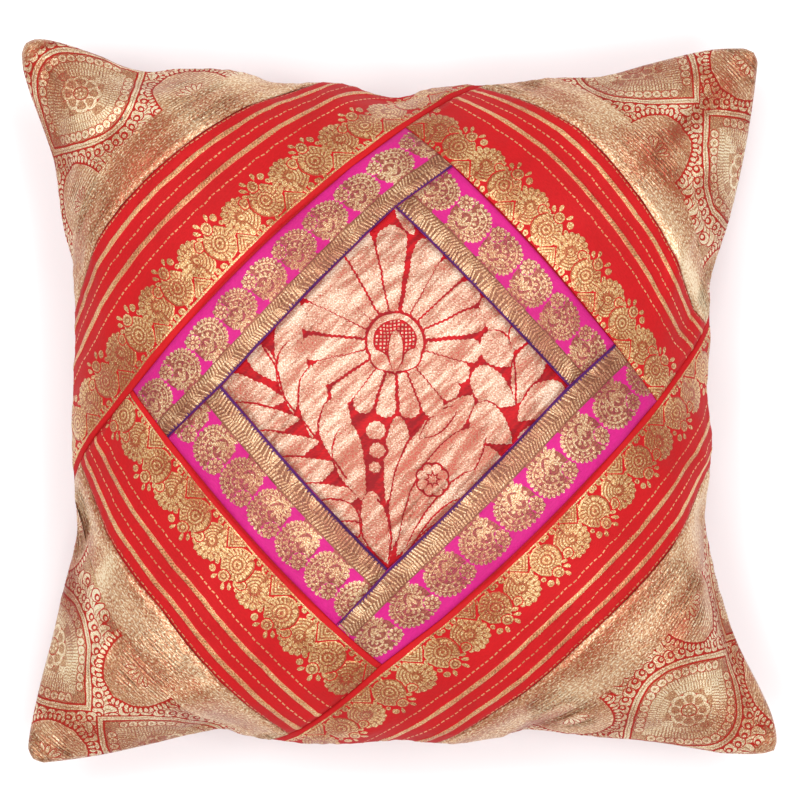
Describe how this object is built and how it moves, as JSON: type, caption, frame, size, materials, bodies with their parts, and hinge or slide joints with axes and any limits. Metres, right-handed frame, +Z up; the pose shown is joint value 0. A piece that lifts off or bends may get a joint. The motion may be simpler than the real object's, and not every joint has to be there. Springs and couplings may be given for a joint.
{
  "type": "patchwork cushion cover",
  "caption": "Filled square cushion, its front pieced log-cabin fashion from sari borders and brocade around a flower panel turned to stand on its corner",
  "frame": {"origin": "on the floor under the middle of the cushion's outline", "axes": "+Z up, out of the pieced front; +Y towards the front's top edge; +X towards its right edge"},
  "size_m": [0.3922, 0.3756, 0.146],
  "materials": {
    "back_cloth": "plain woven red cloth, matt",
    "flower_brocade": "red satin ground with pale rose-gold brocade flowers",
    "magenta_border": "magenta sari border with antique gold paisleys",
    "red_border": "red sari border with gold ribs and a gold flower band",
    "gold_brocade": "gold tissue brocade with a red vine trellis"
  },
  "bodies": {
    "root": {"cushion_body": "back_cloth", "flower_panel": "flower_brocade", "inner_strip_tl": "magenta_border", "inner_strip_tr": "magenta_border", "inner_strip_br": "magenta_border", "inner_strip_bl": "magenta_border", "outer_strip_tl": "red_border", "outer_strip_tr": "red_border", "outer_strip_br": "red_border", "outer_strip_bl": "red_border", "corner_tl": "gold_brocade", "corner_tr": "gold_brocade", "corner_br": "gold_brocade", "corner_bl": "gold_brocade"}
  },
  "joints": []
}
